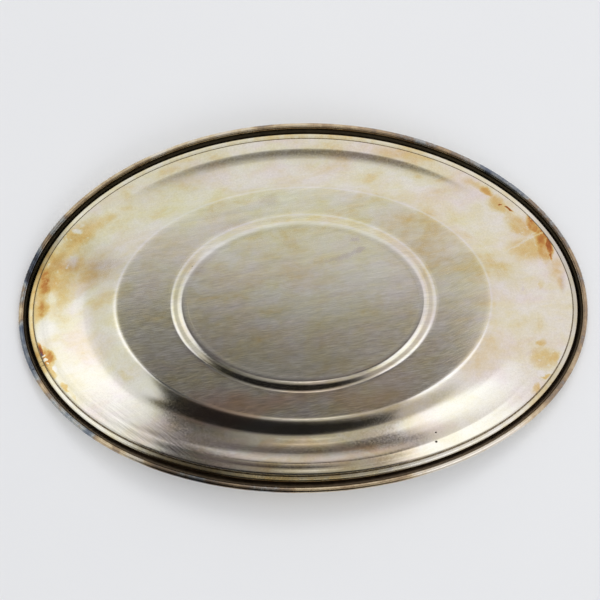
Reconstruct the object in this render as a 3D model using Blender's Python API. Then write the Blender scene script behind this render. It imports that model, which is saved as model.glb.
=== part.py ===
"""Oval silver-plated serving tray, lying face down with its underside up.

Units are metres and +Z is up. X runs along the tray and Y across it. The origin is on the
supporting plane, midway along and across the tray. Turning the tray half a turn about X
gives the way it is used: the raised centre panel is then the foot that it stands on.

The rim isn't flat. The two ends reach down to the supporting plane and the middles of the
long sides are lifted off it, so every ring of the flange and border has one height at the
ends and another at the sides.
"""

import math

import bmesh
import bpy

MM = 0.001

# Overall
SEGMENTS = 64
SHELF_HEIGHT = 25.85 * MM
SHEET = 0.8 * MM

# Centre panel, step and shelf of the pressed body: half length and half width of each oval
PANEL_OVAL = (69.4 * MM, 47.3 * MM)
STEP_FOOT_OVAL = (73.4 * MM, 50.9 * MM)
SHELF_OVAL = (106.0 * MM, 67.8 * MM)
STEP_HEIGHT = 2.5 * MM
STEP_RINGS = 6

# Flange of the body, from the shelf's edge out to the lap seam.
# Each ring: fraction of the way out, fall below the shelf at the ends, fall at the sides.
SEAM_OVAL = (152.5 * MM, 98.0 * MM)
FLANGE_RINGS = (
    (0.02, 0.5 * MM, 0.3 * MM),
    (0.05, 1.2 * MM, 0.65 * MM),
    (0.09, 2.3 * MM, 1.2 * MM),
    (0.14, 4.0 * MM, 2.05 * MM),
    (0.21, 6.55 * MM, 3.3 * MM),
    (0.28, 8.95 * MM, 4.05 * MM),
    (0.37, 11.3 * MM, 4.45 * MM),
    (0.46, 12.6 * MM, 4.7 * MM),
    (0.56, 13.65 * MM, 4.8 * MM),
    (0.65, 14.6 * MM, 4.6 * MM),
    (0.73, 15.5 * MM, 4.15 * MM),
    (0.80, 16.2 * MM, 3.9 * MM),
    (0.87, 17.0 * MM, 4.35 * MM),
    (0.94, 18.05 * MM, 4.7 * MM),
    (1.00, 18.8 * MM, 5.4 * MM),
)

# Border moulding: a half-round strip, open towards +Z, whose outer edge is rolled.
# Sections are drawn as (outward from the seam, up from the seam).
SEAM_FALL_END = 18.7 * MM
SEAM_FALL_SIDE = 5.3 * MM
SLOPE_PER_OUT = 0.1
SIDE_WIDENING = 1.12
STRIP = 0.6 * MM
LAP_INNER = -3.5 * MM
LAP_HEIGHT = -1.8 * MM
CROWN_CENTRE = (1.0 * MM, -3.5 * MM)
CROWN_RADIUS = 1.7 * MM
CHANNEL_CENTRE = (5.55 * MM, -3.5 * MM)
CHANNEL_RADII = (2.85 * MM, 2.8 * MM)
ROLL_CENTRE = (7.325 * MM, -3.1 * MM)
ROLL_RADIUS = 1.075 * MM
ROLL_END_DEGREES = 200.0

# Wire inside the rolled edge, and the solder of the lap seam
WIRE_RADIUS = 0.45 * MM
WIRE_SIDES = 8
SEAM_SOLDER_SECTION = (
    (0.30 * MM, -0.45 * MM),
    (0.30 * MM, -1.15 * MM),
    (1.10 * MM, -1.15 * MM),
    (0.58 * MM, -0.85 * MM),
)

# Butt joint where the two ends of the border strip meet
JOINT_ANGLE = math.radians(196.0)
JOINT_GAP = 1.8 * MM
JOINT_SOLDER_LENGTH = 1.2 * MM


def clear_scene():
    for item in list(bpy.data.objects):
        bpy.data.objects.remove(item, do_unlink=True)


def angle_step(length):
    """Turn of the oval's parameter that covers a length along the rim at the butt joint."""
    speed = math.hypot(SEAM_OVAL[0] * math.sin(JOINT_ANGLE), SEAM_OVAL[1] * math.cos(JOINT_ANGLE))
    return length / speed


def rim_angles():
    """Angles of every ring's vertices, from one end of the border strip round to the other."""
    start = JOINT_ANGLE + angle_step(JOINT_GAP / 2)
    sweep = 2 * math.pi - 2 * angle_step(JOINT_GAP / 2)
    return [start + sweep * index / (SEGMENTS - 1) for index in range(SEGMENTS)]


def oval_point(angle, half_length, half_width, end_height, side_height):
    """Point of a ring whose height swings between its ends and its long sides."""
    mean = (end_height + side_height) / 2
    swing = (end_height - side_height) / 2
    height = mean + swing * math.cos(2 * angle)
    return (half_length * math.cos(angle), half_width * math.sin(angle), height)


def rim_point(angle, out, up):
    """Point of the border, given outward from and up from the lap seam."""
    end_height = SHELF_HEIGHT - SEAM_FALL_END + up - SLOPE_PER_OUT * out
    side_height = SHELF_HEIGHT - SEAM_FALL_SIDE + up + SLOPE_PER_OUT * out
    half_length = SEAM_OVAL[0] + out
    half_width = SEAM_OVAL[1] + SIDE_WIDENING * out
    return oval_point(angle, half_length, half_width, end_height, side_height)


def arc(centre, radii, start_degrees, end_degrees, steps):
    points = []
    for index in range(steps + 1):
        turn = math.radians(start_degrees + (end_degrees - start_degrees) * index / steps)
        across = centre[0] + radii[0] * math.cos(turn)
        above = centre[1] + radii[1] * math.sin(turn)
        points.append((across, above))
    return points


def thicken(path, thickness):
    """Closed section of a strip whose middle follows the path."""
    left = []
    right = []
    for index, point in enumerate(path):
        before = path[max(index - 1, 0)]
        after = path[min(index + 1, len(path) - 1)]
        along = (after[0] - before[0], after[1] - before[1])
        reach = thickness / 2 / math.hypot(*along)
        normal = (-along[1] * reach, along[0] * reach)
        left.append((point[0] + normal[0], point[1] + normal[1]))
        right.append((point[0] - normal[0], point[1] - normal[1]))
    return left + right[::-1]


def border_section():
    lap = [(LAP_INNER, LAP_HEIGHT)]
    crown = arc(CROWN_CENTRE, (CROWN_RADIUS, CROWN_RADIUS), 90, 0, 4)
    channel = arc(CHANNEL_CENTRE, CHANNEL_RADII, 200, 340, 6)
    roll = arc(ROLL_CENTRE, (ROLL_RADIUS, ROLL_RADIUS), 0, ROLL_END_DEGREES, 8)
    return thicken(lap + crown + channel + roll, STRIP)


def add_object(name, mesh_data, material):
    mesh = bpy.data.meshes.new(name)
    mesh_data.normal_update()
    mesh_data.to_mesh(mesh)
    mesh_data.free()
    mesh.materials.append(material)
    mesh.shade_smooth()
    mesh.set_sharp_from_angle(angle=math.radians(35))
    item = bpy.data.objects.new(name, mesh)
    bpy.context.scene.collection.objects.link(item)
    return item


def make_material(name, colour, roughness):
    material = bpy.data.materials.new(name)
    material.use_nodes = True
    shader = material.node_tree.nodes["Principled BSDF"]
    shader.inputs["Base Color"].default_value = (*colour, 1.0)
    shader.inputs["Metallic"].default_value = 1.0
    shader.inputs["Roughness"].default_value = roughness
    return material


def bridge(mesh_data, ring, next_ring, closed):
    count = len(ring) if closed else len(ring) - 1
    for index in range(count):
        other = (index + 1) % len(ring)
        mesh_data.faces.new((ring[index], next_ring[index], next_ring[other], ring[other]))


def body_rings():
    """Rings of the body's upper surface, from the centre panel out to the lap seam."""
    rings = []
    for index in range(STEP_RINGS):
        part = index / (STEP_RINGS - 1)
        height = SHELF_HEIGHT + STEP_HEIGHT * (1 - part * part * (3 - 2 * part))
        half_length = PANEL_OVAL[0] + (STEP_FOOT_OVAL[0] - PANEL_OVAL[0]) * part
        half_width = PANEL_OVAL[1] + (STEP_FOOT_OVAL[1] - PANEL_OVAL[1]) * part
        rings.append((half_length, half_width, height, height))
    rings.append((SHELF_OVAL[0], SHELF_OVAL[1], SHELF_HEIGHT, SHELF_HEIGHT))
    for part, end_fall, side_fall in FLANGE_RINGS:
        half_length = SHELF_OVAL[0] + (SEAM_OVAL[0] - SHELF_OVAL[0]) * part
        half_width = SHELF_OVAL[1] + (SEAM_OVAL[1] - SHELF_OVAL[1]) * part
        rings.append((half_length, half_width, SHELF_HEIGHT - end_fall, SHELF_HEIGHT - side_fall))
    return rings


def make_tray_body(material):
    """Pressed sheet: centre panel, step, shelf, well wall, flange and edge bead."""
    mesh_data = bmesh.new()
    angles = rim_angles()
    loops = []
    for ring in body_rings():
        loops.append([mesh_data.verts.new(oval_point(angle, *ring)) for angle in angles])
    mesh_data.faces.new(loops[0])
    for inner, outer in zip(loops, loops[1:]):
        bridge(mesh_data, inner, outer, closed=True)
    item = add_object("tray_body", mesh_data, material)
    sheet = item.modifiers.new("sheet", "SOLIDIFY")
    sheet.thickness = SHEET
    sheet.offset = -1.0
    sheet.use_even_offset = True
    return item


def sweep_section(name, section, angles, closed, material):
    """Solid made by carrying a section of the rim along the given angles."""
    mesh_data = bmesh.new()
    profiles = []
    for angle in angles:
        profiles.append([mesh_data.verts.new(rim_point(angle, *point)) for point in section])
    for profile, next_profile in zip(profiles, profiles[1:]):
        bridge(mesh_data, profile, next_profile, closed=True)
    if closed:
        bridge(mesh_data, profiles[-1], profiles[0], closed=True)
    else:
        mesh_data.faces.new(profiles[0])
        mesh_data.faces.new(profiles[-1][::-1])
    bmesh.ops.recalc_face_normals(mesh_data, faces=mesh_data.faces)
    return add_object(name, mesh_data, material)


def make_border_moulding(material):
    return sweep_section("border_moulding", border_section(), rim_angles(), False, material)


def make_border_joint_solder(material):
    """Solder between the two butted ends of the border strip."""
    reach = angle_step(JOINT_SOLDER_LENGTH / 2)
    ends = (JOINT_ANGLE - reach, JOINT_ANGLE + reach)
    return sweep_section("border_joint_solder", border_section(), ends, False, material)


def make_lap_seam_solder(material):
    return sweep_section("lap_seam_solder", SEAM_SOLDER_SECTION, rim_angles(), True, material)


def make_rim_wire(material):
    """Stiffening wire that the strip's outer edge is rolled over."""
    section = arc(ROLL_CENTRE, (WIRE_RADIUS, WIRE_RADIUS), 0, 360, WIRE_SIDES)[:-1]
    return sweep_section("rim_wire", section, rim_angles(), True, material)


def main():
    clear_scene()
    make_tray_body(make_material("body_plate", (0.78, 0.75, 0.70), 0.30))
    make_border_moulding(make_material("border_plate", (0.74, 0.71, 0.68), 0.25))
    make_border_joint_solder(make_material("joint_solder", (0.55, 0.50, 0.45), 0.50))
    make_lap_seam_solder(make_material("seam_solder", (0.40, 0.35, 0.30), 0.55))
    make_rim_wire(make_material("wire_metal", (0.72, 0.52, 0.30), 0.40))


main()
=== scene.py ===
"""Looks of the oval serving tray: plated, brushed and tarnished, lying face down on a pale floor.

Every length is in metres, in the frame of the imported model. The tray lies with its underside
towards +Z, its long axis along X, and the camera looks down at it from the -Y side.
"""

import math

import bpy
import numpy as np
from mathutils import Matrix, Vector


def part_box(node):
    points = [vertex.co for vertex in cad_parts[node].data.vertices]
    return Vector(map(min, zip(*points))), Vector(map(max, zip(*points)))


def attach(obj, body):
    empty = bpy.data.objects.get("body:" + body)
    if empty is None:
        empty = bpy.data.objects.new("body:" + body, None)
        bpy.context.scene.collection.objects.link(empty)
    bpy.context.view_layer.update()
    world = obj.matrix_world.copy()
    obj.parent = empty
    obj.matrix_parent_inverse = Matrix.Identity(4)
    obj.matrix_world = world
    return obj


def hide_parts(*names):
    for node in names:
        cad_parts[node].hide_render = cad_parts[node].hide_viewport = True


MM = 0.001

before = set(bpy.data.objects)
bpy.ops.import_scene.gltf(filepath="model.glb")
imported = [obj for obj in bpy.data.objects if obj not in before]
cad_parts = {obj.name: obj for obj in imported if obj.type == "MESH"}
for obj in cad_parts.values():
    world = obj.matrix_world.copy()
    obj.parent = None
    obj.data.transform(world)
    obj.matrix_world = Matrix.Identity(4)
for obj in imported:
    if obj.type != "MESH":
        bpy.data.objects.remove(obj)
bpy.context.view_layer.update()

# ---------------------------------------------------------------------------------------
# Dimensions, worked out from the frame
# ---------------------------------------------------------------------------------------

STEP_HEIGHT = 2.5 * MM
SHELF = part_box("tray_body")[1].z - STEP_HEIGHT
SHEET = 0.8 * MM
STRIP = 0.6 * MM

# Half length and half width of the ovals
PANEL_OVAL = (69.4 * MM, 47.3 * MM)
SHELF_OVAL = (106.0 * MM, 67.8 * MM)
SEAM_OVAL = (152.5 * MM, 98.0 * MM)

# Fall of the seam below the shelf, and how the rings outside and inside it spread and slope
SEAM_FALL_END = 18.7 * MM
SEAM_FALL_SIDE = 5.3 * MM
SLOPE_PER_OUT = 0.1
SIDE_WIDENING = 1.12
END_WIDENING = 1.12

# Joint of the border strip: its turn from the +X end and its gap. The solder runs past both ends,
# stands out a little all round, and is lumpy.
JOINT_ANGLE = math.radians(196.0)
JOINT_GAP = 1.4 * MM
JOINT_OVERRUN = 0.5 * MM
JOINT_SWELL = 0.14 * MM
JOINT_LUMPS = 0.07 * MM

# Mesh density. The hidden side gets one row in three.
BODY_SEGMENTS = 384
BORDER_SEGMENTS = 640
JOINT_SEGMENTS = 13
ROWS_PER_SPAN = 3
HIDDEN_SIDE_STEP = 3

# Step of the foot panel: distance outwards from its rounded edge, height above the shelf, in mm
STEP_PROFILE = (
    (-5.3, 2.47), (-4.1, 2.475), (-3.1, 2.49), (-2.3, 2.50), (-1.5, 2.49), (-0.9, 2.435),
    (-0.3, 2.325), (0.4, 2.14), (0.9, 1.96), (1.4, 1.70), (1.9, 1.36), (2.4, 0.98),
    (2.9, 0.62), (3.4, 0.37), (3.9, 0.20), (4.4, 0.10), (5.0, 0.04), (5.8, 0.01), (6.6, 0.0),
)

# Rounding of the shelf towards its edge: distance outwards from the edge, fall, in mm
SHELF_ROUNDING = ((-7.8, 0.0), (-4.8, 0.01), (-2.8, 0.02), (-1.5, 0.045), (-0.7, 0.10))

# Flange: fraction of the way from shelf to seam, fall at the ends, fall at the sides, in mm
FLANGE_STATIONS = (
    (0.000, 0.20, 0.20), (0.023, 0.54, 0.36), (0.050, 1.20, 0.65), (0.083, 2.13, 1.08),
    (0.120, 3.30, 1.67), (0.170, 5.00, 2.65), (0.210, 6.55, 3.32), (0.245, 7.80, 3.77),
    (0.280, 8.95, 4.05), (0.315, 9.95, 4.22), (0.350, 10.80, 4.35), (0.385, 11.55, 4.49),
    (0.420, 12.10, 4.62), (0.455, 12.55, 4.70), (0.490, 12.95, 4.75), (0.525, 13.30, 4.78),
    (0.560, 13.65, 4.79), (0.595, 14.00, 4.75), (0.630, 14.40, 4.64), (0.665, 14.80, 4.50),
    (0.700, 15.20, 4.33), (0.735, 15.60, 4.14), (0.770, 15.95, 3.97), (0.800, 16.20, 3.90),
    (0.830, 16.50, 4.05), (0.860, 16.90, 4.27), (0.885, 17.25, 4.47), (0.910, 17.65, 4.59),
    (0.940, 18.05, 4.67), (0.970, 18.40, 4.80), (0.988, 18.65, 5.00), (1.000, 18.95, 5.35),
)

# Places where the bead near the seam stands higher: turn from the +X end in degrees, height in mm,
# fraction of the way from shelf to seam. Then their reach in degrees and as such a fraction.
BEAD_SWELLS = ((60, 0.35, 0.795), (86, 0.08, 0.81), (114, 0.03, 0.81))
SWELL_TURN = 20
SWELL_WIDTH = 0.085

# Broad waves of the flange, and the ripples on one part of it: turn and reach in degrees, fraction
# of the way from shelf to seam and reach, distance from crest to crest in mm
WAVE_HEIGHT = 0.018 * MM
RIPPLE_HEIGHT = 0.014 * MM
RIPPLE_TURN, RIPPLE_TURN_REACH = 240, 15
RIPPLE_PLACE, RIPPLE_PLACE_REACH = 0.6, 0.28
RIPPLE_PITCH = 3.6

# Cut edge of the sheet: part of the thickness that is rounded, and how far the rounding stands out
EDGE_ROUNDING = 0.18
EDGE_BULGE = (0.10 * MM, 0.11 * MM)
EDGE_ZONES = (4.02, 4.05)

# Sections of the border and its solder, as (outward from the seam, up from the seam)
LAP_PATH = ((-3.5, -1.8), (-1.5, -1.8), (0.1, -1.8), (0.6, -1.78), (1.1, -1.79))
CROWN_CENTRE, CROWN_RADII = (1.75 * MM, -2.75 * MM), (1.05 * MM, 0.95 * MM)
CHANNEL_CENTRE, CHANNEL_RADII = (5.05 * MM, -3.5 * MM), (2.25 * MM, 2.8 * MM)
ROLL_CENTRE, ROLL_RADII = (7.20 * MM, -3.1 * MM), (1.2 * MM, 1.075 * MM)
WIRE_RADII = (0.45 * MM, 0.45 * MM)
SEAM_SOLDER_SECTION = ((0.16, -0.22), (0.34, -0.66), (0.68, -1.43), (0.16, -1.43))


def angles(count):
    return np.linspace(0.0, 2 * math.pi, count, endpoint=False)


def oval_rows(rings, turns):
    """Grid of points: one row for each (half length, half width, end height, side height)."""
    rings = np.asarray(rings, float)
    length, width, end, side = (rings[:, k, None] for k in range(4))
    height = (end + side) / 2 + (end - side) / 2 * np.cos(2 * turns)[None, :]
    return np.stack([length * np.cos(turns), width * np.sin(turns), height], axis=-1)


def spline(points, per_span):
    """Catmull-Rom curve through the points, whatever their number of coordinates."""
    points = np.asarray(points, float)
    padded = np.vstack([2 * points[0] - points[1], points, 2 * points[-1] - points[-2]])
    curve = []
    for k in range(1, len(padded) - 2):
        p0, p1, p2, p3 = padded[k - 1:k + 3]
        for step in range(per_span):
            t = step / per_span
            curve.append(
                0.5 * (2 * p1 + (p2 - p0) * t
                       + (2 * p0 - 5 * p1 + 4 * p2 - p3) * t ** 2
                       + (3 * p1 - p0 - 3 * p2 + p3) * t ** 3)
            )
    curve.append(points[-1])
    return np.array(curve)


def grid_normals(grid):
    """Unit normals of a grid whose columns close into rings, pointing to the left of its rows."""
    along = np.gradient(grid, axis=0)
    around = (np.roll(grid, -1, axis=1) - np.roll(grid, 1, axis=1)) / 2
    normal = np.cross(along, around)
    return normal / np.maximum(np.linalg.norm(normal, axis=2, keepdims=True), 1e-12)


def grid_mesh(name, grid, values, section_closes=True, turn_closes=True, centred=False):
    """Mesh of a grid of points: rows run along the section, columns run around the tray.

    A section that closes makes a tube, whose ends are filled where the turn stays open. A centred
    grid gets a fan of triangles inside its first and its last row. Values are float attributes.
    """
    rows, columns = grid.shape[:2]
    index = np.arange(rows * columns).reshape(rows, columns)
    row_ids = np.arange(rows if section_closes else rows - 1)
    column_ids = np.arange(columns if turn_closes else columns - 1)
    near, far = np.meshgrid(row_ids, column_ids, indexing="ij")
    row_after, column_after = (near + 1) % rows, (far + 1) % columns
    quads = np.stack(
        [index[near, far], index[row_after, far], index[row_after, column_after],
         index[near, column_after]], axis=-1
    ).reshape(-1, 4)
    points = grid.reshape(-1, 3).tolist()
    faces = quads.tolist()
    if not turn_closes:
        faces += [index[::-1, 0].tolist(), index[:, -1].tolist()]
    if centred:
        for row, order in ((0, 1), (rows - 1, -1)):
            points.append(grid[row].mean(axis=0).tolist())
            ring = index[row].tolist()
            for k in range(columns):
                faces.append([len(points) - 1, ring[k], ring[(k + 1) % columns]][::order])
    mesh = bpy.data.meshes.new(name)
    mesh.from_pydata(points, [], faces)
    for key, value in values.items():
        level = np.broadcast_to(value, (rows, columns)).ravel()
        level = np.concatenate([level, np.full(len(points) - level.size, level[0])])
        mesh.attributes.new(key, "FLOAT", "POINT").data.foreach_set("value", level)
    mesh.shade_smooth()
    piece = bpy.data.objects.new(name, mesh)
    bpy.context.scene.collection.objects.link(piece)
    return piece


# ---------------------------------------------------------------------------------------
# Node materials
# ---------------------------------------------------------------------------------------

class Graph:
    """Short names for the node calls that the materials share."""

    def __init__(self, tree):
        self.tree = tree
        self.nodes = tree.nodes
        self.nodes.clear()

    def node(self, kind, **settings):
        made = self.nodes.new(kind)
        for key, value in settings.items():
            setattr(made, key, value)
        return made

    def link(self, value, socket):
        if isinstance(value, bpy.types.NodeSocket):
            self.tree.links.new(value, socket)
        elif value is not None:
            socket.default_value = value

    def math(self, operation, first, second=None, third=None):
        made = self.node("ShaderNodeMath", operation=operation)
        for socket, value in zip(made.inputs, (first, second, third)):
            self.link(value, socket)
        return made.outputs[0]

    def total(self, *values):
        result = values[0]
        for value in values[1:]:
            result = self.math("ADD", result, value)
        return result

    def product(self, *values):
        result = values[0]
        for value in values[1:]:
            result = self.math("MULTIPLY", result, value)
        return result

    def vector(self, operation, first, second=None):
        made = self.node("ShaderNodeVectorMath", operation=operation)
        self.link(first, made.inputs[0])
        self.link(second, made.inputs[1])
        return made.outputs["Value" if operation in ("LENGTH", "DOT_PRODUCT") else "Vector"]

    def parts(self, vector):
        made = self.node("ShaderNodeSeparateXYZ")
        self.link(vector, made.inputs[0])
        return made.outputs

    def attribute(self, name):
        return self.node("ShaderNodeAttribute", attribute_name=name).outputs["Fac"]

    def place(self, vector, location=(0, 0, 0), turn=0.0, scale=(1, 1, 1)):
        """Coordinates with the origin moved to a place, turned about Z and scaled, in that order."""
        moved = self.vector("SUBTRACT", vector, location)
        made = self.node("ShaderNodeVectorRotate", rotation_type="Z_AXIS")
        self.link(moved, made.inputs["Vector"])
        made.inputs["Angle"].default_value = -turn
        return self.vector("MULTIPLY", made.outputs[0], scale)

    def noise(self, vector, scale, detail=3.0, roughness=0.55, colour=False):
        made = self.node("ShaderNodeTexNoise")
        self.link(vector, made.inputs["Vector"])
        made.inputs["Scale"].default_value = scale
        made.inputs["Detail"].default_value = detail
        made.inputs["Roughness"].default_value = roughness
        return made.outputs["Color" if colour else "Fac"]

    def fade(self, value, start, end, low=0.0, high=1.0, smooth=True):
        """Value carried from start..end to low..high, and held there outside."""
        made = self.node("ShaderNodeMapRange", clamp=True)
        made.interpolation_type = "SMOOTHSTEP" if smooth else "LINEAR"
        self.link(value, made.inputs["Value"])
        for key, number in zip(("From Min", "From Max", "To Min", "To Max"), (start, end, low, high)):
            self.link(number, made.inputs[key])
        return made.outputs[0]

    def mix(self, factor, first, second, blend="MIX"):
        made = self.node("ShaderNodeMix", data_type="RGBA", blend_type=blend)
        self.link(factor, made.inputs["Factor"])
        self.link(rgba(first), made.inputs["A"])
        self.link(rgba(second), made.inputs["B"])
        return made.outputs["Result"]

    def ramp(self, factor, stops):
        made = self.node("ShaderNodeValToRGB")
        elements = made.color_ramp.elements
        while len(elements) < len(stops):
            elements.new(0.5)
        for element, (position, colour) in zip(elements, stops):
            element.position = position
            element.color = rgba(colour)
        self.link(factor, made.inputs[0])
        return made.outputs[0]

    def bump(self, height, strength, distance):
        made = self.node("ShaderNodeBump")
        made.inputs["Strength"].default_value = strength
        made.inputs["Distance"].default_value = distance
        self.link(height, made.inputs["Height"])
        return made.outputs[0]

    def warped(self, vector, scale, reach):
        """Coordinates pushed about by up to half of a reach, in patches of 1/scale."""
        push = self.vector("SUBTRACT", self.noise(vector, scale, 3.0, colour=True), (0.5, 0.5, 0.5))
        return self.vector("ADD", vector, self.vector("MULTIPLY", push, (reach, reach, reach)))

    def blot(self, vector, blot):
        """1 inside a soft oval blot on the tray, 0 outside it. Its places are in mm."""
        (x, y), (long, wide), turn, softness = blot
        local = self.place(vector, (x * MM, y * MM, 0), math.radians(turn),
                           (1 / (long * MM), 1 / (wide * MM), 0))
        return self.fade(self.vector("LENGTH", local), 1.0 + softness, 1.0 - softness)

    def blots(self, vector, blots):
        """Strongest of several (strength, blot) pairs at each point."""
        result = None
        for strength, blot in blots:
            level = self.math("MULTIPLY", self.blot(vector, blot), strength)
            result = level if result is None else self.math("MAXIMUM", result, level)
        return result

    def painted(self, vector, start, values):
        """Level that starts with a value and is painted over by each (value, blot) in turn."""
        level = start
        for value, blot in values:
            step = self.math("SUBTRACT", value, level)
            level = self.math("MULTIPLY_ADD", self.blot(vector, blot), step, level)
        return level

    def specks(self, vector, scale, size):
        """1 inside round specks of several sizes, 0 between them."""
        made = self.node("ShaderNodeTexVoronoi", feature="F1")
        self.link(vector, made.inputs["Vector"])
        made.inputs["Scale"].default_value = scale
        return self.fade(made.outputs["Distance"], size, size * 0.5)

    def shade(self, factor, colour, tint):
        """Colour multiplied by a tint where the factor is 1."""
        return self.mix(factor, colour, self.mix(1.0, colour, tint, "MULTIPLY"))


def rgba(colour):
    return (*colour, 1.0) if isinstance(colour, tuple) and len(colour) == 3 else colour


# Colours that silver plate goes through as its tarnish thickens
TARNISH = (
    (0.00, (0.93, 0.92, 0.90)),
    (0.12, (0.90, 0.88, 0.80)),
    (0.24, (0.86, 0.81, 0.61)),
    (0.36, (0.80, 0.65, 0.34)),
    (0.42, (0.77, 0.57, 0.25)),
    (0.48, (0.71, 0.46, 0.16)),
    (0.54, (0.61, 0.30, 0.09)),
    (0.60, (0.47, 0.17, 0.05)),
    (0.72, (0.24, 0.08, 0.05)),
    (0.84, (0.17, 0.16, 0.24)),
    (1.00, (0.10, 0.09, 0.09)),
)

# Blots: (x, y) of the middle, (half length, half width) in mm, turn in degrees, softness.
# Broad yellowing of the plate
YELLOWED = (
    (0.02, ((-90, 52), (70, 26), 28, 0.9)),
    (0.05, ((0, 58), (80, 14), 0, 0.9)),
    (0.10, ((78, 37), (34, 20), -20, 0.9)),
    (0.13, ((-134, 24), (24, 32), 0, 0.8)),
    (0.05, ((0, 88), (110, 9), 0, 0.9)),
    (0.11, ((60, 86), (30, 8), -14, 0.9)),
    (0.05, ((-35, 37), (30, 12), 0, 0.9)),
    (0.06, ((-60, 0), (60, 30), 0, 0.9)),
)
# Stains with ragged outlines: how thick the tarnish is, and where
STAINS = (
    (0.34, ((-134, 41), (9, 6), 50, 0.8)),
    (0.43, ((-138, 24), (14, 25), 0, 0.9)),
    (0.42, ((-127, 45), (17, 8), 36, 0.8)),
    (0.34, ((-113, 53), (14, 5), 28, 0.9)),
    (0.33, ((143, 22), (6, 9), -10, 0.9)),
    (0.45, ((-143, 28), (7, 17), -18, 0.8)),
    (0.54, ((-146, 20), (6, 17), -10, 0.8)),
    (0.50, ((-149, 3), (6, 13), 0, 0.8)),
    (0.34, ((-130, 34), (14, 10), 30, 0.9)),
    (0.31, ((-138, -2), (10, 7), 0, 0.9)),
    (0.28, ((-101, -38), (6, 2.5), -30, 0.8)),
    (0.54, ((-145.5, -25), (4.4, 8.5), 20, 0.5)),
    (0.76, ((-148.2, -22), (2.6, 6.5), 16, 0.5)),
    (0.50, ((-142.5, -33), (2.6, 4), 25, 0.6)),
    (0.46, ((-135, -43), (4.2, 2.2), -48, 0.6)),
    (0.34, ((-130, -48), (5, 2), -44, 0.8)),
    (0.44, ((105, 66.5), (6, 2.6), -35, 0.7)),
    (0.32, ((100, 70), (11, 3), -28, 0.9)),
    (0.36, ((113, 56.5), (9, 4), -38, 0.8)),
    (0.62, ((118, 56), (3.4, 1.1), -32, 0.6)),
    (0.58, ((113.5, 58.5), (1.3, 0.8), 0, 0.5)),
    (0.41, ((124, 46), (12, 6), -40, 0.8)),
    (0.36, ((128, 33), (14, 9), 10, 0.8)),
    (0.46, ((137, 32), (5, 9), 10, 0.7)),
    (0.52, ((136, 38), (4.5, 9), 20, 0.8)),
    (0.38, ((112, 60), (7, 4), -38, 0.8)),
    (0.50, ((132, 46), (3.4, 8), 34, 0.6)),
    (0.56, ((130.5, 50), (1.7, 4.5), 32, 0.7)),
    (0.60, ((137.3, 42), (2.4, 5), 32, 0.7)),
    (0.63, ((140, 36), (2.2, 8), 12, 0.8)),
    (0.58, ((141, 29), (1.2, 4), -8, 0.6)),
    (0.30, ((146, 14), (3, 7), 0, 0.8)),
    (0.30, ((134.5, 12), (1.5, 3), -20, 0.8)),
    (0.30, ((132, -12), (7, 9), 0, 0.9)),
    (0.40, ((134, -23), (3.4, 2.6), 20, 0.7)),
    (0.36, ((135, -31), (10, 8), 0, 0.7)),
    (0.41, ((140, -31), (4.5, 5.5), -20, 0.7)),
    (0.42, ((136, -42.5), (4.5, 1.4), 20, 0.6)),
    (0.42, ((130.5, -49.5), (3.6, 2.6), 40, 0.6)),
)
# Places that stayed clean inside the stained ends
CLEAN = (
    (0.9, ((-126.5, 49.3), (2.2, 1.7), 20, 0.6)),
    (0.6, ((-131, 31), (4, 3), 40, 0.9)),
    (0.5, ((-142, 11), (4, 3), 0, 0.9)),
    (0.9, ((-127, 5), (7, 3.4), 35, 0.9)),
    (0.7, ((-123, -5), (4, 6), 0, 0.9)),
    (1.0, ((-145, -8), (6, 5), 0, 0.7)),
    (1.0, ((-146, -23.5), (0.8, 0.7), 0, 0.4)),
    (1.0, ((-145.2, -26.5), (0.8, 1.1), 0, 0.4)),
    (0.9, ((-143.8, -28.6), (0.7, 0.6), 0, 0.4)),
    (1.0, ((-140, -31.5), (1.3, 1.3), 0, 0.4)),
    (1.0, ((-145, -34.4), (1.3, 1.1), 0, 0.4)),
    (1.0, ((132.2, -40.4), (2.4, 2.0), 0, 0.5)),
    (1.0, ((144, -34), (1.2, 6), -26, 0.5)),
    (0.5, ((88, -66), (44, 13), 32, 0.8)),
    (0.5, ((-106, -52), (34, 12), -36, 0.8)),
    (0.35, ((134, 41), (7, 0.45), 24, 0.6)),
    (0.35, ((124, 36), (11, 0.5), 38, 0.6)),
)
# Greyish lilac bloom: strength and place
BLOOM = (
    (0.8, ((-112, 26), (9, 4), 0, 0.7)),
    (0.6, ((-124, 12), (7, 4), 30, 0.8)),
    (0.6, ((-113, 19), (12, 8), 0, 0.8)),
    (0.7, ((-131, 29), (4, 4), 0, 0.8)),
    (0.8, ((29.6, 35.5), (3.4, 1.5), 10, 0.4)),
    (1.0, ((32.4, 28.6), (3.4, 1.6), 18, 0.35)),
    (0.7, ((22.0, 25.6), (10, 1.1), 14, 0.6)),
    (0.6, ((-18, 60), (6, 2.4), 10, 0.6)),
    (0.5, ((-40, 45), (7, 2.2), 20, 0.7)),
    (0.5, ((-62, 22), (5, 5), 0, 0.9)),
    (0.4, ((-86, 10), (8, 6), 0, 0.9)),
    (0.8, ((125, 8.6), (1.3, 1.2), 0, 0.5)),
    (0.7, ((147.5, 14), (1.5, 5), -6, 0.6)),
    (0.4, ((112, 14), (12, 10), 0, 0.9)),
)
# Reddish and dull casts on the side towards the camera
RUDDY = (
    (0.9, ((-34, -58), (34, 6), 6, 0.8)),
    (0.4, ((36, -57), (26, 6), -6, 0.8)),
    (0.5, ((-20, -84), (52, 2.6), 2, 0.8)),
    (0.7, ((38, -84), (22, 2.6), -4, 0.8)),
    (0.5, ((0, -90), (80, 3.4), 0, 0.9)),
)
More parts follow.
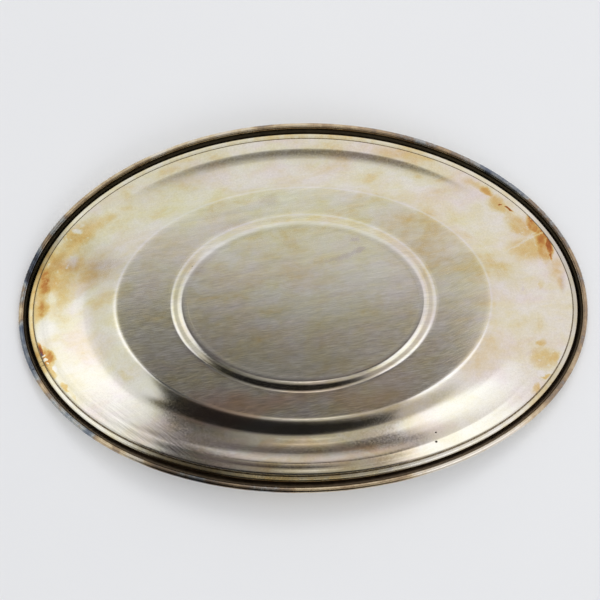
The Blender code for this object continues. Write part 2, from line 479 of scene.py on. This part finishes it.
# Dull places of the body
# Places where the body's colour is made darker
DARKENED_PLACES = (
    (0.8, ((4, -84), (28, 9), 0, 0.8)),
    (0.8, ((10, -93), (46, 5), 0, 0.8)),
    (0.8, ((-122, 30), (17, 12), 20, 0.9)),
    (0.3, ((-66, 74), (24, 7), 22, 0.9)),
)
# Edges worn bright: zone of each and reach to either side
WORN_EDGES = ((0.97, 0.11), (1.86, 0.20), (2.99, 0.04))
PITS = (
    (1.0, ((72.7, -74.5), (0.5, 0.5), 0, 0.4)),
    (1.0, ((72.8, -79.9), (0.7, 0.6), 0, 0.4)),
    (0.5, ((-62, 22), (0.4, 0.4), 0, 0.5)),
)


def metal_shader(graph, colour, roughness, normal, metallic=1.0):
    shader = graph.node("ShaderNodeBsdfPrincipled")
    shader.inputs["Metallic"].default_value = metallic
    graph.link(rgba(colour), shader.inputs["Base Color"])
    graph.link(roughness, shader.inputs["Roughness"])
    graph.link(normal, shader.inputs["Normal"])
    output = graph.node("ShaderNodeOutputMaterial")
    graph.tree.links.new(shader.outputs[0], output.inputs["Surface"])
    return shader


def new_graph(name):
    material = bpy.data.materials.new(name)
    material.use_nodes = True
    return material, Graph(material.node_tree)


def body_material():
    """Brushed plate with cloudy tarnish, stains towards the ends, bloom, casts and pits."""
    material, graph = new_graph("tarnished_plate")
    place = graph.node("ShaderNodeTexCoord").outputs["Object"]
    zone = graph.attribute("zone")
    on_flange = graph.fade(zone, 2.9, 3.2)
    across = graph.parts(place)[1]
    worn = 0.0
    for edge, reach in WORN_EDGES:
        away = graph.math("ABSOLUTE", graph.math("SUBTRACT", zone, edge))
        worn = graph.math("MAXIMUM", worn, graph.fade(away, reach, 0.0))

    # Short brush strokes that rise to the right, steeper on the right of the shelf; slanting polish
    # strokes on one part of the flange
    bent = graph.warped(place, 16.0, 0.0015)
    strokes = graph.noise(graph.place(bent, turn=math.radians(9), scale=(140, 2000, 1)), 1.0, 3.0, 0.6)
    steep = graph.noise(graph.place(bent, turn=math.radians(24), scale=(140, 1900, 1)), 1.0, 3.0, 0.6)
    strokes = graph.mix(graph.fade(graph.parts(place)[0], 0.068, 0.084), strokes, steep)
    bands = graph.noise(graph.place(bent, turn=math.radians(9), scale=(26, 330, 1)), 1.0, 4.0, 0.6)
    slant = graph.noise(graph.place(bent, turn=math.radians(-40), scale=(60, 1300, 1)), 1.0, 3.0, 0.6)
    grain = graph.noise(place, 900.0, 3.0, 0.6)
    polished = graph.blot(place, ((-92, -70), (30, 11), -30, 0.9))
    brush = graph.mix(on_flange, strokes, graph.mix(polished, grain, slant))

    # Thickness of the tarnish
    wiped = graph.place(graph.warped(place, 22.0, 0.020), turn=math.radians(8), scale=(1, 2.0, 1))
    cloud = graph.noise(wiped, 15.0, 4.0, 0.62)
    drift = graph.noise(wiped, 46.0, 5.0, 0.62)
    mottle = graph.noise(graph.warped(place, 60.0, 0.01), 110.0, 5.0, 0.65)
    far_warp = graph.warped(place, 30.0, 0.030)
    near_warp = graph.warped(graph.warped(place, 90.0, 0.008), 420.0, 0.0022)
    base = graph.total(
        graph.fade(cloud, 0.30, 0.70, 0.10, 0.22, smooth=False),
        graph.product(on_flange, graph.fade(cloud, 0.30, 0.70, -0.03, 0.04, smooth=False)),
        graph.fade(drift, 0.32, 0.68, -0.08, 0.08, smooth=False),
        graph.fade(mottle, 0.3, 0.7, -0.055, 0.055, smooth=False),
        graph.fade(bands, 0.3, 0.7, -0.018, 0.018, smooth=False),
        graph.blots(far_warp, YELLOWED),
    )
    stained = graph.blots(near_warp, STAINS)
    specks = graph.product(graph.specks(near_warp, 260.0, 0.30), graph.fade(drift, 0.42, 0.60),
                           graph.fade(stained, 0.2, 0.4, 0.0, 0.16))
    broken = graph.fade(mottle, 0.28, 0.62, 0.78, 1.10)
    stained = graph.math("MULTIPLY", stained, broken)
    tarnish = graph.math("MAXIMUM", base, stained)
    clean = graph.blots(near_warp, CLEAN)
    tarnish = graph.math("SUBTRACT", tarnish, specks)
    tarnish = graph.math("MULTIPLY", tarnish, graph.fade(clean, 0.0, 1.0, 1.0, 0.25, smooth=False))
    tarnish = graph.math("MULTIPLY_ADD", worn, -0.11, tarnish)
    colour = graph.ramp(tarnish, TARNISH)

    # Casts: greenish and rosy drifts, lilac bloom, ruddy near side; then stroke tone and pits
    hue = graph.noise(graph.vector("ADD", wiped, (0.3, 0.1, 0.2)), 24.0, 4.0, 0.6)
    far_side = graph.fade(across, -0.03, 0.03, 0.35, 1.0)
    greenish = graph.product(graph.fade(hue, 0.52, 0.34), far_side, graph.fade(zone, 3.7, 3.2, 0.3, 1.0))
    colour = graph.shade(greenish, colour, (0.985, 1.00, 0.89))
    rosy = graph.product(graph.fade(hue, 0.46, 0.64), graph.fade(zone, 3.2, 3.6, 0.6, 1.0))
    colour = graph.shade(rosy, colour, (0.98, 0.92, 0.97))
    bloom = graph.blots(near_warp, BLOOM)
    colour = graph.shade(bloom, colour, (0.88, 0.85, 0.97))
    colour = graph.shade(graph.blots(far_warp, RUDDY), colour, (0.98, 0.78, 0.68))
    stroke_depth = graph.total(0.13, graph.math("MULTIPLY", on_flange, -0.05),
                               graph.math("MULTIPLY", polished, 0.26))
    tone = graph.total(1.0, graph.math("MULTIPLY", graph.blots(far_warp, DARKENED_PLACES), -0.22),
                       graph.product(stroke_depth, graph.fade(brush, 0.34, 0.66, -1.0, 0.0, smooth=False)),
                       graph.product(graph.fade(bands, 0.3, 0.7, -0.09, 0.05, smooth=False),
                                     graph.fade(on_flange, 0.0, 1.0, 1.0, 0.2)))
    tones = graph.node("ShaderNodeCombineColor")
    for socket in tones.inputs[:3]:
        graph.link(tone, socket)
    colour = graph.mix(1.0, colour, tones.outputs[0], "MULTIPLY")

    # The wall of the step is painted darker, except on the far side: painted shade standing in for the
    # darker light that its steep slope mirrors
    wall = graph.fade(graph.math("ABSOLUTE", graph.math("SUBTRACT", zone, 1.42)), 0.30, 0.10)
    wall = graph.product(wall, graph.fade(across, 0.035, 0.012, 0.0, 0.8))
    colour = graph.shade(wall, colour, (0.76, 0.74, 0.70))
    pits = graph.blots(place, PITS)
    colour = graph.mix(pits, colour, (0.05, 0.04, 0.035))

    roughness = graph.total(
        graph.fade(brush, 0.3, 0.7, 0.14, 0.24, smooth=False),
        graph.math("MULTIPLY", on_flange, -0.03),
        graph.fade(across, -0.02, 0.05, 0.0, 0.05),
        graph.math("MULTIPLY", bloom, 0.08),
        graph.math("MULTIPLY", pits, 0.30),
        graph.fade(tarnish, 0.2, 0.6, 0.0, 0.12),
        graph.math("MULTIPLY", worn, -0.09),
    )
    height = graph.math("SUBTRACT", brush, graph.math("MULTIPLY", pits, 3.0))
    metal_shader(graph, colour, roughness, graph.bump(height, 0.10, 0.00010))
    return material


# Tarnish of the light band beside the seam, painted in this order
BAND_TARNISH = (
    (0.29, ((30, 100), (60, 16), 0, 0.5)),
    (0.22, ((-60, 96), (44, 14), 20, 0.5)),
    (0.16, ((152, 20), (16, 60), 0, 0.6)),
    (0.36, ((-152, 6), (10, 62), 0, 0.6)),
    (0.44, ((-148, 30), (10, 12), 20, 0.8)),
    (0.44, ((-151, -26), (7, 10), 14, 0.8)),
    (0.14, ((-118, -60), (30, 9), -42, 0.7)),
    (0.30, ((-72, -90), (26, 9), -20, 0.6)),
    (0.32, ((-10, -100), (46, 8), 0, 0.7)),
    (0.12, ((70, -90), (40, 12), 24, 0.7)),
    (0.26, ((138, -46), (12, 12), 50, 0.8)),
)
# Places where the border's colour is painted darker. The blot at (-68, -92) is a painted dark reflection,
# standing in for the dim front that the crown mirrors there; the others only darken the band and lip.
BORDER_DARKENING_AND_SHADE = (
    (0.60, ((-145, 37), (10, 17), -24, 0.6)),
    (0.32, ((-151, -24), (7, 9), 14, 0.7)),
    (0.95, ((-68, -92), (30, 11), -20, 0.6)),
    (0.34, ((150, 26), (16, 46), 0, 0.7)),
    (0.18, ((146, -40), (14, 24), -30, 0.7)),
)
# Tones of the lip, from cream through tan, brown and grey to steel blue and black
LIP_TONES = (
    (0.00, (0.88, 0.83, 0.74)),
    (0.22, (0.76, 0.64, 0.45)),
    (0.42, (0.50, 0.38, 0.25)),
    (0.56, (0.32, 0.26, 0.21)),
    (0.66, (0.44, 0.46, 0.46)),
    (0.76, (0.25, 0.28, 0.32)),
    (0.88, (0.14, 0.17, 0.23)),
    (1.00, (0.07, 0.07, 0.08)),
)
LIP_LEVELS = (
    (0.12, ((-30, 106), (60, 6), 4, 0.6)),
    (0.50, ((-22, 107), (6, 3), 0, 0.7)),
    (0.28, ((30, 106), (22, 5), -4, 0.7)),
    (0.54, ((70, 98), (32, 7), -17, 0.7)),
    (0.76, ((112, 78), (28, 8), -38, 0.7)),
    (0.55, ((148, 42), (12, 24), 24, 0.7)),
    (0.36, ((160, 3), (8, 10), 0, 0.7)),
    (0.50, ((155, -26), (8, 18), -12, 0.7)),
    (0.54, ((140, -54), (14, 9), 52, 0.7)),
    (0.00, ((95, -86), (46, 10), 28, 0.6)),
    (0.34, ((22, -106), (40, 6), 0, 0.6)),
    (0.56, ((-50, -102), (28, 8), -15, 0.7)),
    (0.16, ((-98, -83), (9, 5), -32, 0.7)),
    (0.68, ((-130, -63), (22, 9), -46, 0.6)),
    (0.26, ((-113, -75), (6, 5), -40, 0.7)),
    (0.82, ((-156, -16), (8, 26), 0, 0.6)),
    (0.42, ((-160, 2), (6, 6), 0, 0.8)),
    (0.86, ((-153, 30), (8, 16), 16, 0.6)),
    (0.60, ((-140, 54), (10, 9), 50, 0.6)),
    (0.32, ((-113, 76), (22, 8), 38, 0.6)),
    (0.02, ((-80, 94), (12, 5), 25, 0.6)),
)


def border_material():
    """Plated moulding: light band, dark unpolished channel and a lip of many tarnish colours. The
    channel's near-black colour is partly dark tarnish and partly painted shade, and is painted lighter on
    the side towards the camera.
    """
    material, graph = new_graph("tarnished_border")
    place = graph.node("ShaderNodeTexCoord").outputs["Object"]
    hollow = graph.attribute("hollow")
    lip = graph.attribute("lip")
    fine = graph.noise(graph.warped(place, 150.0, 0.004), 260.0, 5.0, 0.7)
    broad = graph.noise(place, 80.0, 4.0, 0.6)
    warp = graph.warped(place, 45.0, 0.016)
    unevenness = graph.total(graph.fade(broad, 0.34, 0.66, -0.15, 0.15, smooth=False),
                             graph.fade(fine, 0.3, 0.7, -0.09, 0.09, smooth=False))
    band = graph.total(graph.painted(warp, 0.2, BAND_TARNISH), graph.math("MULTIPLY", unevenness, 0.55),
                       graph.fade(hollow, 0.02, 0.5, 0.0, 0.25))
    level = graph.total(graph.painted(warp, 0.45, LIP_LEVELS), unevenness)
    colour = graph.mix(lip, graph.ramp(band, TARNISH), graph.ramp(level, LIP_TONES))
    # Painted darker places: a painted dark reflection at the lower left, plain darkening elsewhere
    darkening_and_shade = graph.math("MULTIPLY", graph.blots(warp, BORDER_DARKENING_AND_SHADE), graph.fade(lip, 0.0, 1.0, 1.0, 0.7))
    colour = graph.shade(darkening_and_shade, colour, (0.22, 0.20, 0.19))
    # Channel colour: near black, partly dark tarnish of the hollow and partly painted shade; painted
    # lighter on the side towards the camera, a painted light
    near = graph.fade(graph.parts(place)[1], 0.02, -0.07)
    dark = graph.mix(near, graph.mix(fine, (0.028, 0.023, 0.015), (0.11, 0.09, 0.055)),
                     graph.mix(fine, (0.08, 0.066, 0.050), (0.29, 0.22, 0.15)))
    colour = graph.mix(graph.fade(hollow, 0.25, 0.8), colour, dark)
    roughness = graph.total(
        graph.fade(fine, 0.3, 0.7, 0.18, 0.30, smooth=False),
        graph.fade(hollow, 0.3, 0.9, 0.0, 0.20),
    )
    metal_shader(graph, colour, roughness, graph.bump(fine, 0.10, 0.0001))
    return material


def lumpy_material(name, dark, light, roughness):
    material, graph = new_graph(name)
    place = graph.node("ShaderNodeTexCoord").outputs["Object"]
    tone = graph.noise(place, 500.0, 5.0, 0.65)
    colour = graph.mix(graph.fade(tone, 0.35, 0.65), dark, light)
    rough = graph.fade(tone, 0.3, 0.7, roughness - 0.08, roughness + 0.12)
    metal_shader(graph, colour, rough, graph.bump(tone, 0.15, 0.0001))
    return material


# ---------------------------------------------------------------------------------------
# Pieces
# ---------------------------------------------------------------------------------------

def body_rings():
    """Rings of the underside sheet from the middle outwards, and the zone that each is in.

    Zones run from 0 at the middle: 1 foot panel's crest, 2 foot of the step, 3 shelf's edge, 4 seam.
    """
    def inner_oval(distance):
        return PANEL_OVAL[0] + END_WIDENING * distance, PANEL_OVAL[1] + distance

    points = []
    first, height = STEP_PROFILE[0]
    length, width = inner_oval(first * MM)
    for part in (0.004, 0.2, 0.4, 0.6, 0.8):
        points.append((length * part, width * part, height, height, part * 0.8))
    for distance, height in STEP_PROFILE:
        zone = 1 + distance / 5 if distance > 0 else 1 + distance / 30
        points.append((*inner_oval(distance * MM), height, height, zone))
    last_length, last_width = inner_oval(STEP_PROFILE[-1][0] * MM)
    bend_length = SHELF_OVAL[0] + SHELF_ROUNDING[0][0] * MM
    bend_width = SHELF_OVAL[1] + SHELF_ROUNDING[0][0] * MM
    for part in (0.3, 0.65):
        points.append((last_length + (bend_length - last_length) * part,
                       last_width + (bend_width - last_width) * part, 0, 0, 2.2 + 0.3 * part))
    for distance, fall in SHELF_ROUNDING:
        points.append((SHELF_OVAL[0] + distance * MM, SHELF_OVAL[1] + distance * MM,
                       -fall, -fall, 3 + distance / 20))
    for part, end, side in FLANGE_STATIONS:
        points.append((SHELF_OVAL[0] + (SEAM_OVAL[0] - SHELF_OVAL[0]) * part,
                       SHELF_OVAL[1] + (SEAM_OVAL[1] - SHELF_OVAL[1]) * part, -end, -side, 3 + part))
    curve = spline(points, ROWS_PER_SPAN)
    curve[:, 2:4] = SHELF + curve[:, 2:4] * MM
    return curve[:, :4], curve[:, 4]


def bell(distance, reach):
    return np.exp(-(distance / reach) ** 2)


def hand_worked(grid, zones):
    """Slight unevenness of hand-finished metal: broad waves, ripples and swells of the bead."""
    x, y = grid[..., 0] / MM, grid[..., 1] / MM
    waves = (np.sin(x / 7.9 + 0.6 * np.sin(y / 11.3)) * np.sin(y / 6.7 + 1.3 + 0.5 * np.sin(x / 13.1))
             + 0.6 * np.sin((x + 1.7 * y) / 5.3 + 2.1) * np.sin((1.3 * x - y) / 9.1 + 0.4))
    part_out = zones[:, None] - 3
    degrees = np.degrees(angles(grid.shape[1]))[None, :]
    moved = grid.copy()
    moved[..., 2] += waves * WAVE_HEIGHT * np.clip(part_out - 0.05, 0, 0.4) / 0.4

    across = part_out * (SEAM_OVAL[1] - SHELF_OVAL[1]) / MM
    ripples = np.sin(2 * math.pi * (across / RIPPLE_PITCH + (degrees - 238) / 40))
    ripples *= bell(degrees - RIPPLE_TURN, RIPPLE_TURN_REACH)
    ripples *= bell(part_out - RIPPLE_PLACE, RIPPLE_PLACE_REACH)
    moved[..., 2] += RIPPLE_HEIGHT * ripples
    for turn, height, part in BEAD_SWELLS:
        away = (degrees - turn + 180) % 360 - 180
        moved[..., 2] += height * MM * bell(away, SWELL_TURN) * bell(part_out - part, SWELL_WIDTH)
    return moved


def make_body():
    rings, zones = body_rings()
    around = angles(BODY_SEGMENTS)
    outer = hand_worked(oval_rows(rings, around), zones)
    inner = outer - grid_normals(outer) * SHEET
    sideways = np.stack([np.cos(around), np.sin(around), 0 * around], axis=1)
    edges = []
    for part, bulge in zip((EDGE_ROUNDING, 1 - EDGE_ROUNDING), EDGE_BULGE):
        edges.append(outer[-1] * (1 - part) + inner[-1] * part + sideways * bulge)
    grid = np.concatenate([outer, edges, inner[::-HIDDEN_SIDE_STEP]])
    level = np.concatenate([zones, EDGE_ZONES, zones[::-HIDDEN_SIDE_STEP]])
    piece = grid_mesh("tray_body_plated", grid[::-1], {"zone": level[::-1, None]},
                      section_closes=False, centred=True)
    piece.data.materials.append(body_material())
    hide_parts("tray_body")
    return piece


def rim_rings(section):
    """Rings of the border for a section drawn outward and up from the seam."""
    rings = []
    for out, up in section:
        end = SHELF - SEAM_FALL_END + up - SLOPE_PER_OUT * out
        side = SHELF - SEAM_FALL_SIDE + up + SLOPE_PER_OUT * out
        rings.append((SEAM_OVAL[0] + out, SEAM_OVAL[1] + SIDE_WIDENING * out, end, side))
    return np.array(rings)


def arc(centre, radii, start, end, steps):
    turn = np.radians(np.linspace(start, end, steps + 1))
    return np.stack([centre[0] + radii[0] * np.cos(turn), centre[1] + radii[1] * np.sin(turn)], axis=1)


def thicken(path, thickness):
    """Closed section of a strip whose middle follows the path."""
    along = np.gradient(path, axis=0)
    normal = np.stack([-along[:, 1], along[:, 0]], axis=1)
    normal /= np.linalg.norm(normal, axis=1, keepdims=True)
    return np.concatenate([path + normal * thickness / 2, (path - normal * thickness / 2)[::-1]])


def border_section(thickness):
    """Section of the moulding, and how far each of its points is in the channel and on the lip."""
    lap = np.array(LAP_PATH) * MM
    crown = arc(CROWN_CENTRE, CROWN_RADII, 90, 0, 12)
    channel = arc(CHANNEL_CENTRE, CHANNEL_RADII, 188, 350, 26)
    roll = arc(ROLL_CENTRE, ROLL_RADII, 0, 200, 24)
    hollow = np.concatenate([np.zeros(len(lap) + 8), np.linspace(0.05, 0.8, 5), np.ones(len(channel)),
                             np.linspace(0.8, 0.0, 4), np.zeros(len(roll) - 4)])
    lip = np.concatenate([np.zeros(len(lap) + len(crown) + len(channel) - 4), np.linspace(0, 1, 4),
                          np.ones(len(roll))])
    section = thicken(np.concatenate([lap, crown, channel, roll]), thickness)
    return section, np.append(hollow, np.zeros_like(hollow)), np.append(lip, lip[::-1])


def turn_for(length):
    """Turn about the middle that covers a length of rim at the joint."""
    return length / math.hypot(SEAM_OVAL[0] * math.sin(JOINT_ANGLE), SEAM_OVAL[1] * math.cos(JOINT_ANGLE))


def make_border(border):
    section, hollow, lip = border_section(STRIP)
    half_gap = turn_for(JOINT_GAP / 2)
    turns = np.linspace(JOINT_ANGLE + half_gap, JOINT_ANGLE + 2 * math.pi - half_gap, BORDER_SEGMENTS)
    grid = oval_rows(rim_rings(section), turns)
    piece = grid_mesh("border_strip", grid, {"hollow": hollow[:, None], "lip": lip[:, None]},
                      turn_closes=False)
    piece.data.materials.append(border)
    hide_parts("border_moulding")
    return piece


def make_joint(border):
    section, hollow, lip = border_section(STRIP + JOINT_SWELL)
    reach = turn_for(JOINT_GAP / 2 + JOINT_OVERRUN)
    turns = np.linspace(JOINT_ANGLE - reach, JOINT_ANGLE + reach, JOINT_SEGMENTS)
    grid = oval_rows(rim_rings(section), turns)
    x, y, z = (grid[..., k] / MM for k in range(3))
    grid[..., 2] += JOINT_LUMPS * np.sin(y / 0.42) * np.cos(z / 0.5 + x / 0.6)
    piece = grid_mesh("joint_solder_lump", grid, {"hollow": hollow[:, None], "lip": lip[:, None]},
                      turn_closes=False)
    piece.data.materials.append(border)
    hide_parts("border_joint_solder")
    return piece


def make_seam():
    section = np.array(SEAM_SOLDER_SECTION) * MM
    grid = oval_rows(rim_rings(section), angles(BORDER_SEGMENTS))
    piece = grid_mesh("seam_solder_line", grid, {})
    piece.data.materials.append(
        lumpy_material("dark_solder", (0.20, 0.15, 0.10), (0.46, 0.38, 0.27), 0.35))
    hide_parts("lap_seam_solder")
    return piece


def make_wire():
    section = arc(ROLL_CENTRE, WIRE_RADII, 0, -330, 11)
    grid = oval_rows(rim_rings(section), angles(BORDER_SEGMENTS))
    piece = grid_mesh("rim_wire_round", grid, {})
    piece.data.materials.append(
        lumpy_material("wire_metal", (0.45, 0.28, 0.14), (0.75, 0.55, 0.33), 0.4))
    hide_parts("rim_wire")
    return piece


# ---------------------------------------------------------------------------------------
# Floor, light and camera
# ---------------------------------------------------------------------------------------

FLOOR_REACH = 12.0
TENT_RADIUS = 0.4
TENT_OPENING = 1 * MM
CAMERA_TILT = math.radians(75.15)
CAMERA_TURN = math.radians(1.17)
CAMERA_DISTANCE = 2.8
CAMERA_AIM = (-1.80 * MM, 1.68 * MM, SHELF)
CAMERA_LENS = 298.9


def make_floor():
    mesh = bpy.data.meshes.new("floor")
    corners = [(x * FLOOR_REACH, y * FLOOR_REACH, 0) for x, y in ((-1, -1), (1, -1), (1, 1), (-1, 1))]
    mesh.from_pydata(corners, [], [(0, 1, 2, 3)])
    floor = bpy.data.objects.new("floor", mesh)
    bpy.context.scene.collection.objects.link(floor)
    material, graph = new_graph("pale_floor")
    place = graph.node("ShaderNodeTexCoord").outputs["Object"]
    tone = graph.noise(place, 9.0, 4.0)
    colour = graph.mix(tone, (0.790, 0.795, 0.815), (0.815, 0.818, 0.832))
    shader = graph.node("ShaderNodeBsdfPrincipled")
    graph.link(colour, shader.inputs["Base Color"])
    shader.inputs["Roughness"].default_value = 0.85
    shader.inputs["Specular IOR Level"].default_value = 0.1
    output = graph.node("ShaderNodeOutputMaterial")
    graph.tree.links.new(shader.outputs[0], output.inputs["Surface"])
    mesh.materials.append(material)


def tent_material():
    """Light of the white tent: pale all round, brightest at both sides, dark at the camera's gap.

    The places are those of the tent's wall as seen from above, from -1 to 1 along X and Y.
    """
    material, graph = new_graph("tent_light")
    wall = graph.vector("MULTIPLY", graph.node("ShaderNodeTexCoord").outputs["Object"],
                        (1 / TENT_RADIUS, 1 / TENT_RADIUS, 1 / TENT_RADIUS))
    x, y = graph.parts(wall)[:2]

    def pool(centre, reach, softness):
        local = graph.place(wall, (*centre, 0), 0, (1 / reach[0], 1 / reach[1], 0))
        return graph.fade(graph.vector("LENGTH", local), 1 + softness, 1 - softness)

    light = graph.mix(graph.fade(x, -0.9, 0.9), (0.765, 0.76, 0.725), (0.84, 0.79, 0.785))
    light = graph.mix(pool((-0.05, 0.44), (0.42, 0.09), 0.6), light, (0.79, 0.785, 0.765))
    light = graph.mix(pool((-0.62, 0.03), (0.20, 0.21), 0.9), light, (1.22, 1.20, 1.18))
    light = graph.mix(pool((0.49, -0.24), (0.19, 0.28), 0.4), light, (1.22, 1.22, 1.23))
    light = graph.mix(graph.product(graph.fade(y, -0.51, -0.67), graph.fade(x, 0.2, 0.4)),
                      light, (0.55, 0.52, 0.50))
    light = graph.mix(pool((-0.58, -0.56), (0.10, 0.20), 0.3), light, (0.15, 0.14, 0.105))

    # The gap: its two slanting sides, then bands from its top downwards
    lean = graph.fade(y, 0.36, 0.27, 0.02, 0.20)
    level = graph.total(y, graph.math("MULTIPLY", graph.math("MINIMUM", x, 0.0), lean))
    left = graph.math("MULTIPLY_ADD", graph.math("MINIMUM", y, 0.0), 0.42, -0.40)
    right = graph.total(0.290, graph.fade(y, -0.24, -0.55, 0.0, 0.13, smooth=False))
    softness = graph.fade(y, -0.05, 0.08, 0.04, 0.10)
    inside_left = graph.fade(graph.math("SUBTRACT", x, left), -0.035, softness)
    inside_right = graph.fade(graph.math("SUBTRACT", x, right), 0.025, -0.03)
    gap = graph.product(inside_left, inside_right, graph.fade(level, 0.39, 0.12))
    slope = graph.mix(graph.fade(x, -0.05, 0.05), (0.1, 0.1, 0.1), (0.7, 0.7, 0.7))
    lower = graph.total(y, graph.math("MULTIPLY", x, slope))
    grey = graph.mix(graph.fade(level, 0.14, 0.09), (0.17, 0.16, 0.15), (0.125, 0.113, 0.108))
    beige = graph.mix(graph.fade(x, -0.42, 0.08), (0.075, 0.075, 0.07), (0.47, 0.43, 0.36))
    onset = graph.total(y, graph.fade(x, 0.08, 0.14, 0.0, 0.08))
    grey = graph.mix(graph.fade(onset, -0.03, -0.11), grey, beige)
    grey = graph.mix(pool((0.02, -0.175), (0.09, 0.040), 0.6), grey, (1.20, 1.10, 0.95))
    grey = graph.mix(pool((0.13, 0.10), (0.06, 0.05), 0.9), grey, (0.30, 0.25, 0.21))
    grey = graph.mix(graph.fade(lower, -0.36, -0.45), grey, (0.13, 0.115, 0.11))
    grey = graph.mix(graph.fade(lower, -0.44, -0.55), grey, (0.06, 0.056, 0.052))
    grey = graph.mix(graph.fade(lower, -0.53, -0.62), grey, (0.014, 0.013, 0.013))
    grey = graph.mix(graph.fade(y, -0.84, -0.94), grey, (0.05, 0.048, 0.045))
    light = graph.mix(gap, light, grey)

    emission = graph.node("ShaderNodeEmission")
    graph.link(light, emission.inputs["Color"])
    output = graph.node("ShaderNodeOutputMaterial")
    graph.tree.links.new(emission.outputs[0], output.inputs["Surface"])
    material.cycles.emission_sampling = "NONE"
    return material


def make_tent():
    """Dome that the metal mirrors. Only mirrored rays meet it: it neither lights nor shades the floor."""
    rings = []
    for up in np.linspace(0, 90, 25)[:-1]:
        radius = TENT_RADIUS * math.cos(math.radians(up))
        height = TENT_RADIUS * math.sin(math.radians(up))
        rings.append((radius, radius, height, height))
    rings.append((TENT_OPENING, TENT_OPENING, TENT_RADIUS, TENT_RADIUS))
    tent = grid_mesh("tent", oval_rows(rings, angles(96)), {}, section_closes=False)
    tent.data.materials.append(tent_material())
    for rays in ("camera", "diffuse", "shadow", "transmission"):
        setattr(tent, "visible_" + rays, False)


def make_world():
    """Even pale light from all round."""
    world = bpy.data.worlds.new("studio")
    bpy.context.scene.world = world
    world.use_nodes = True
    graph = Graph(world.node_tree)
    background = graph.node("ShaderNodeBackground")
    background.inputs["Color"].default_value = (0.98, 0.99, 1.0, 1)
    background.inputs["Strength"].default_value = 0.50
    output = graph.node("ShaderNodeOutputWorld")
    graph.tree.links.new(background.outputs[0], output.inputs["Surface"])


def add_area_light(name, place, target, size, power, colour=(1, 1, 1)):
    data = bpy.data.lights.new(name, "AREA")
    data.shape = "RECTANGLE"
    data.size, data.size_y = size
    data.energy = power
    data.color = colour
    lamp = bpy.data.objects.new(name, data)
    bpy.context.scene.collection.objects.link(lamp)
    lamp.location = place
    lamp.rotation_euler = (Vector(target) - Vector(place)).to_track_quat("-Z", "Y").to_euler()
    lamp.visible_camera = False
    lamp.visible_glossy = False
    return lamp


def make_lights():
    add_area_light("front_softbox", (1.1, -1.5, 1.5), (0, 0, 0), (2.0, 1.2), 9)
    add_area_light("back_softbox", (0.35, 1.4, 1.9), (0, 0.1, 0), (1.6, 1.0), 10)
    fill = add_area_light("ceiling_fill", (0.1, 0.1, 2.4), (0, 0, 0), (2.4, 2.4), 22)
    fill.data.use_shadow = False


def make_camera():
    """Camera on the -Y side, turned a little about Z together with the point that it aims at."""
    turn = Matrix.Rotation(-CAMERA_TURN, 3, "Z")
    aim = turn @ Vector(CAMERA_AIM)
    back = turn @ Vector((0, -math.cos(CAMERA_TILT), math.sin(CAMERA_TILT)))
    data = bpy.data.cameras.new("camera")
    data.sensor_width = 36.0
    data.lens = CAMERA_LENS
    data.clip_start, data.clip_end = 0.1, 50
    camera = bpy.data.objects.new("camera", data)
    bpy.context.scene.collection.objects.link(camera)
    camera.location = aim + back * CAMERA_DISTANCE
    camera.rotation_mode = "QUATERNION"
    camera.rotation_quaternion = (-back).to_track_quat("-Z", "Y")
    bpy.context.scene.camera = camera


bpy.context.scene.view_settings.view_transform = "Standard"
make_camera()
make_world()
make_lights()
make_floor()
make_tent()
border_plate = border_material()
for piece in (make_body(), make_border(border_plate), make_joint(border_plate), make_seam(), make_wire()):
    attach(piece, "root")

bpy.context.view_layer.update()
